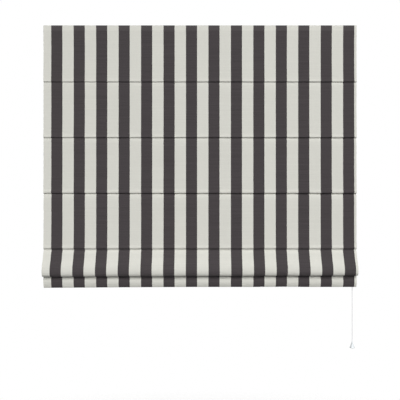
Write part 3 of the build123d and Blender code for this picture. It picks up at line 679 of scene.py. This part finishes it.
bottom_line, bottom_run = through(BOTTOM_LINE, 96)
give = rise(bottom_line[:, 1:], HEM_STIFF_TO, HEM_SOFT_FROM)
sag = -HEM_SAG * np.clip(-across / HALF_WIDTH, 0, 1) ** 1.3
bottom_cloth = make_piece(
    "bottom_section_cloth",
    cloth_shell(
        bottom_line[:, :1] + HEM_WAVE * give * waves(across, 1.4),
        bottom_line[:, 1:] + give * sag,
        bottom_start + bottom_run,
        pressed=0.35,
    ),
    striped_cloth,
)
lowest_pocket = pocket("rod_pocket_5", *LOWEST_ROD, phase=5, down=cloth_run)
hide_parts("bottom_section", "dark_stripes_6")
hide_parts("bottom_section")
for piece in (bottom_cloth, lowest_pocket):
    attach(piece, "bottom")


# Bottom bar. A drawn aluminium flat with rounded edges slides into the hem, and a moulded cap
# closes each end.
bar_metal = hard_finish(
    "bar_metal", (0.72, 0.73, 0.74), (0.45, 0.45, 0.45), 0.32, metallic=1.0, drawn=(0.02, 1, 1)
)
dress(bar_metal, "bottom_bar")
dress(white_plastic, "bar_cap_left", "bar_cap_right")


# Lift cords. Four braided cords run up from stops under the lowest rings, through every ring,
# over a pulley each, and along the rail side by side into the lock.
CORD_R = 0.0007
CORD_X = (-0.600, -0.200, 0.200, 0.600)
LANES = (-0.0024, -0.0008, 0.0008, 0.0024)
CORD_Y = -0.0325
LOWEST_CORD_Y = -0.0277
PULLEY_Z = 0.0330
RUN_Z = 0.03985
PULL_X = 0.7546
PULL_Y = -0.0135
ROLLER_Z = 0.0340
PULLEY_FAR = 0.0068
LANE_BENDS = (0.6137, 0.6317, 0.7196, 0.7478)
BRAID_STRANDS = 4.0
BRAID_PITCH = 0.004

# Braid: two sets of strands wind round the cord in opposite ways. Lay is turns and metres.
braid, given, result = new_group("braid", {"Lay": None, "Strands": 2.0, "Pitch": 0.01}, ["Height"])
turns, metres, _ = add_node(braid, "SeparateXYZ", {"Vector": given.outputs["Lay"]}).outputs
round_it = calc(braid, "MULTIPLY", turns, given.outputs["Strands"])
along_it = calc(braid, "DIVIDE", metres, given.outputs["Pitch"])
strands = [
    calc(braid, "ABSOLUTE", calc(braid, "SINE", calc(braid, "MULTIPLY", crossing, math.pi)))
    for crossing in (calc(braid, "ADD", round_it, along_it), calc(braid, "SUBTRACT", round_it, along_it))
]
braid.links.new(calc(braid, "MULTIPLY", *strands), result.inputs["Height"])


def cord_finish(name, colour):
    """Braided polyester, with painted shade between the strands."""
    material, tree, shader = new_material(name, colour, 0.62, Sheen_Weight=0.2)
    lay = add_node(tree, "UVMap", uv_map="lay").outputs["UV"]
    braided = place_group(tree, braid, Lay=lay, Strands=BRAID_STRANDS, Pitch=BRAID_PITCH)
    # Painted shade: the colour darkens between the strands.
    strand_gap_shade = tuple(0.72 * part for part in colour)
    height = calc(tree, "POWER", braided.outputs["Height"], 0.5)
    feed(tree, shader.inputs["Base Color"], mix_colours(tree, height, strand_gap_shade, colour))
    bump = add_node(tree, "Bump", {"Height": height, "Distance": 0.00012, "Strength": 0.8})
    feed(tree, shader.inputs["Normal"], bump.outputs["Normal"])
    return material


lift_cord_white = cord_finish("lift_cord_white", (0.80, 0.80, 0.78))


def smooth_route(points):
    """Points along the NURBS spline of order 3 that has the given points as its control points."""
    data = bpy.data.curves.new("route", "CURVE")
    data.dimensions = "3D"
    data.resolution_u = 12
    spline = data.splines.new("NURBS")
    spline.points.add(len(points) - 1)
    spline.points.foreach_set("co", np.column_stack([points, np.ones(len(points))]).ravel())
    spline.order_u = 3
    spline.use_endpoint_u = True
    carrier = bpy.data.objects.new("route", data)
    scene.collection.objects.link(carrier)
    mesh = bpy.data.meshes.new_from_object(carrier)
    line = np.empty(3 * len(mesh.vertices))
    mesh.vertices.foreach_get("co", line)
    bpy.data.objects.remove(carrier)
    bpy.data.curves.remove(data)
    bpy.data.meshes.remove(mesh)
    line = line.reshape(-1, 3)
    apart = np.concatenate([[True], np.linalg.norm(np.diff(line, axis=0), axis=1) > 1e-7])
    return line[apart]


def tube(line, radius, sides=10):
    """Patches of a round cord: circles square to the line, closed to a point at each end."""
    rings = ring_grid(line, radius, sides)
    run = np.concatenate([[0], np.cumsum(np.linalg.norm(np.diff(line, axis=0), axis=1))])
    tips = [np.repeat(line[end][None, None], sides, axis=1) for end in (0, -1)]
    rings = np.concatenate([tips[0], rings, tips[1]])
    run = np.concatenate([run[:1], run, run[-1:]])
    uv = np.stack(np.broadcast_arrays(np.arange(sides + 1) / sides, run[:, None]), axis=-1)
    return [patch(rings, uv, wrap=True, flip=True)]


steps = np.linspace(0, 1, 9)[:, None]
for number in range(1, 6):
    low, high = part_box(f"lift_cords_{number}")
    lower_y = LOWEST_CORD_Y if number == 5 else CORD_Y
    patches = []
    for x, lane in zip(CORD_X, LANES):
        upper = np.array((x, CORD_Y + lane, high[2]))
        lower = np.array((x, lower_y + lane, low[2]))
        patches += tube(upper * (1 - steps) + lower * steps, CORD_R)
    runs = make_piece(f"lift_cord_runs_{number}", patches, lift_cord_white)
    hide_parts(f"lift_cords_{number}")
    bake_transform(runs)

patches = []
for x, lane in zip(CORD_X, LANES):
    pulley_y = CORD_Y + lane
    lock_y = PULL_Y + lane
    route = [
        (x, pulley_y, PULLEY_Z), (x, pulley_y, RUN_Z), (x + PULLEY_FAR, pulley_y, RUN_Z),
        (LANE_BENDS[0], pulley_y, RUN_Z), (LANE_BENDS[1], pulley_y, RUN_Z),
        (LANE_BENDS[2], lock_y, RUN_Z), (LANE_BENDS[3], lock_y, RUN_Z),
        (PULL_X, lock_y, RUN_Z), (PULL_X, lock_y, ROLLER_Z),
    ]
    patches += tube(smooth_route(route), CORD_R)
rail_runs = make_piece("rail_cord_runs", patches, lift_cord_white)
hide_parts("rail_cords")
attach(rail_runs, "headrail")
dress(white_plastic, "cord_stops")


# Pull cord. The four cords leave the lock and are knotted inside a turned connector, from which
# one thicker braided cord hangs down to a conical weight. Profiles are (radius, height) in
# millimetres.
CONNECTOR_TOP = -0.290
CONNECTOR_FOOT = -0.314
WEIGHT_TOP = -1.503
PULL_CORD_R = 0.001
KNOT_Z = -1.5291
KNOT_SIZE = 0.00105
KNOT_STRAND = 0.00072
STRAIGHT_Z = 0.0250
BUNDLE_X = (-0.0008, 0.0008, -0.0008, 0.0008)
BUNDLE_Y = (-0.0008, -0.0008, 0.0008, 0.0008)
BUNDLE_Z = (-0.040, -0.120, -0.200, -0.281, CONNECTOR_TOP)
CONNECTOR_PROFILE = [
    (0, -290.6), (3.2, -290.6), (3.5, -290.0), (4.1, -290.0), (4.5, -290.4), (4.5, -292.6),
    (4.2, -292.9), (4.2, -293.3), (4.5, -293.6), (4.5, -297.4), (4.4, -298.4), (4.0, -300.5),
    (3.4, -304.0), (2.9, -307.6), (2.5, -311.0), (2.3, -313.2), (2.1, -313.9), (1.8, -314.0),
    (1.2, -313.7), (0, -313.7),
]
WEIGHT_PROFILE = [
    (1.1, -1503.3), (1.4, -1503.0), (2.0, -1503.0), (2.4, -1503.3), (2.6, -1504.0), (2.9, -1506.5),
    (3.7, -1510.5), (4.8, -1514.7), (6.1, -1519.0), (7.6, -1523.2), (9.3, -1527.2), (10.8, -1530.8),
    (11.7, -1532.6), (12.0, -1533.4), (12.0, -1534.3), (11.7, -1534.8), (11.2, -1535.0),
    (4.8, -1535.0), (4.2, -1534.7), (4.0, -1534.2), (4.0, -1526.6), (3.6, -1526.0), (1.3, -1526.0),
    (1.1, -1525.6), (1.1, -1503.3),
]
pull_cord_white = cord_finish("pull_cord_white", (0.63, 0.645, 0.665))
weight_plastic = hard_finish(
    "weight_plastic", (0.77, 0.81, 0.83), (0.84, 0.86, 0.88), 0.46, relief=0.00002, Coat_Weight=0.15
)


def turned_piece(name, profile, material, sides=48):
    """A turned piece: a profile carried round the pull cord's line."""
    profile = np.asarray(profile, float) / 1000
    angle = np.arange(sides) * 2 * math.pi / sides
    radius, height = profile[:, :1], profile[:, 1:]
    points = np.stack(
        [PULL_X + radius * np.cos(angle), PULL_Y + radius * np.sin(angle), height + 0 * angle], axis=-1
    )
    run = np.concatenate([[0], np.cumsum(np.linalg.norm(np.diff(profile, axis=0), axis=1))])
    uv = np.stack(np.broadcast_arrays(np.arange(sides + 1) / sides, run[:, None]), axis=-1)
    return make_piece(name, [patch(points, uv, wrap=True)], material, crease=0.9)


connector = turned_piece("turned_connector", CONNECTOR_PROFILE, nylon)
weight = turned_piece("cord_weight_cone", WEIGHT_PROFILE, weight_plastic)

# Knot: a trefoil, which goes twice round while it waves three times in and out, and up and down.
knot_turn = np.linspace(0, 2 * math.pi, 61)
knot_reach = 1.25 + 0.72 * np.cos(3 * knot_turn)
knot_line = KNOT_SIZE * np.column_stack(
    [
        knot_reach * np.cos(2 * knot_turn),
        knot_reach * np.sin(2 * knot_turn),
        1.35 * np.sin(3 * knot_turn),
    ]
) + (PULL_X, PULL_Y, KNOT_Z)
knot = make_piece("pull_cord_knot", tube(knot_line, KNOT_STRAND), pull_cord_white)
hanging_line = smooth_route(
    [(PULL_X, PULL_Y, z) for z in (CONNECTOR_FOOT, -0.326, -0.700, -1.120, -1.491, WEIGHT_TOP)]
)
pull_cord = make_piece("pull_cord_braid", tube(hanging_line, PULL_CORD_R, sides=12), pull_cord_white)
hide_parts("cord_connector")
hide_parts("cord_weight")
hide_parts("pull_cord")
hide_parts("pull_cord")
for piece, finish in (
    (connector, "nylon"),
    (weight, "weight_plastic"),
    (pull_cord, "cord_white"),
    (knot, "cord_white"),
):
    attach(piece, "pull")

# The four lock cords leave the guide roller side by side and close up into a bundle.
for number, (lane, beside, behind) in enumerate(zip(LANES, BUNDLE_X, BUNDLE_Y), 1):
    abreast = [(PULL_X, PULL_Y + lane, z) for z in (ROLLER_Z, STRAIGHT_Z)]
    bundled = [(PULL_X + beside, PULL_Y + behind, z) for z in BUNDLE_Z]
    line = smooth_route(abreast + bundled)
    strand = make_piece(f"lock_cord_{number}", tube(line, CORD_R), lift_cord_white)
    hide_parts("lock_cords")
    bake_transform(strand)


# Studio. Soft suns light the blind from the front, a little above it, and from behind, and a large
# lamp from the upper right. Under it lies a pale floor, and the surround is white. The camera looks
# straight at it from a little below its middle.
FLOOR_Z = -1.95
FLOOR_MIDDLE_Y = -0.9
FLOOR_REACH = (2.6, 1.5)
FLOOR_SOLID = 0.5
FLOOR_END = 0.97
SIDE_LAMP_PLACE = (0.95, -1.5, 1.15)
CAMERA_PLACE = (0.0, -2.648, -0.802)
CAMERA_LENS = 47.8

scene.view_settings.view_transform = "Standard"


def seen_directly(tree):
    """1 for rays that show a thing, straight, mirrored or through a clear piece, and 0 for those
    that only light others."""
    rays = add_node(tree, "LightPath").outputs
    seen = calc(tree, "MAXIMUM", rays["Is Camera Ray"], rays["Is Glossy Ray"])
    return calc(tree, "MAXIMUM", seen, rays["Is Transmission Ray"])


def floor_finish():
    """A pale mottled floor that sends little light back up and fades out towards its rim."""
    material, tree, shader = new_material("pale_floor", (0.80, 0.80, 0.79), 0.7)
    mottle = add_node(tree, "TexNoise", {"Scale": 6.0, "Detail": 4.0}).outputs["Fac"]
    mottled = mix_colours(tree, mottle, (0.78, 0.78, 0.77), (0.83, 0.83, 0.82))
    shown = mix_colours(tree, seen_directly(tree), (0.16, 0.16, 0.16), mottled)
    feed(tree, shader.inputs["Base Color"], shown)
    inner = add_node(tree, "Mapping", {"Vector": add_node(tree, "TexCoord").outputs["Object"]})
    inner.inputs["Location"].default_value = (0, -FLOOR_MIDDLE_Y / FLOOR_REACH[1], -FLOOR_Z)
    inner.inputs["Scale"].default_value = (1 / FLOOR_REACH[0], 1 / FLOOR_REACH[1], 1)
    outwards = add_node(tree, "VectorMath", {"Vector": inner.outputs["Vector"]}, operation="LENGTH")
    solid = add_node(
        tree, "MapRange",
        {
            "Value": outwards.outputs["Value"], "From Min": FLOOR_SOLID, "From Max": FLOOR_END,
            "To Min": 1.0, "To Max": 0.0,
        },
    )
    feed(tree, shader.inputs["Alpha"], solid.outputs["Result"])
    return material


reach, turn = np.meshgrid(np.linspace(0, 1, 12), np.linspace(0, 2 * math.pi, 49)[:-1], indexing="ij")
disc = np.stack(
    [
        FLOOR_REACH[0] * reach * np.cos(turn),
        FLOOR_REACH[1] * reach * np.sin(turn) + FLOOR_MIDDLE_Y,
        0 * turn + FLOOR_Z,
    ],
    axis=-1,
)
floor = make_piece("floor", [patch(disc, np.zeros((12, 49, 2)), wrap=True)], floor_finish())
floor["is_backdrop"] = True

for name, side, height, strength, softness in (
    ("key", 8, 31, 2.64, 42),
    ("fill", -30, 10, 0.20, 50),
    ("back", 180, 40, 1.7, 50),
):
    sun = bpy.data.lights.new(name, "SUN")
    sun.energy = strength
    sun.angle = math.radians(softness)
    holder = bpy.data.objects.new(name, sun)
    holder.rotation_euler = (math.radians(90 - height), 0, math.radians(side))
    scene.collection.objects.link(holder)

side_light = bpy.data.lights.new("side", "AREA")
side_light.size = 1.0
side_light.energy = 4.4
side_lamp = bpy.data.objects.new("side", side_light)
side_lamp.location = SIDE_LAMP_PLACE
side_lamp.rotation_euler = (math.radians(44), 0, math.radians(32))
side_lamp.visible_camera = False
scene.collection.objects.link(side_lamp)

# Surround: white where it is seen, and as light a soft grey, a little brighter upwards.
world = bpy.data.worlds.new("surround")
world.use_nodes = True
scene.world = world
tree = world.node_tree
surround = tree.nodes["Background"]
direction = add_node(tree, "TexCoord").outputs["Generated"]
upwards = add_node(tree, "SeparateXYZ", {"Vector": direction}).outputs["Z"]
soft_light = weigh(tree, 0.12, (upwards, 0.11))
seen = seen_directly(tree)
light = weigh(tree, seen, (soft_light, calc(tree, "SUBTRACT", 1.0, seen)))
surround.inputs["Color"].default_value = (1, 1, 1, 1)
feed(tree, surround.inputs["Strength"], light)

camera_data = bpy.data.cameras.new("camera")
camera_data.lens = CAMERA_LENS
camera = bpy.data.objects.new("camera", camera_data)
camera.location = CAMERA_PLACE
camera.rotation_euler = (math.radians(90), 0, 0)
scene.collection.objects.link(camera)
scene.camera = camera

low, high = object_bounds()
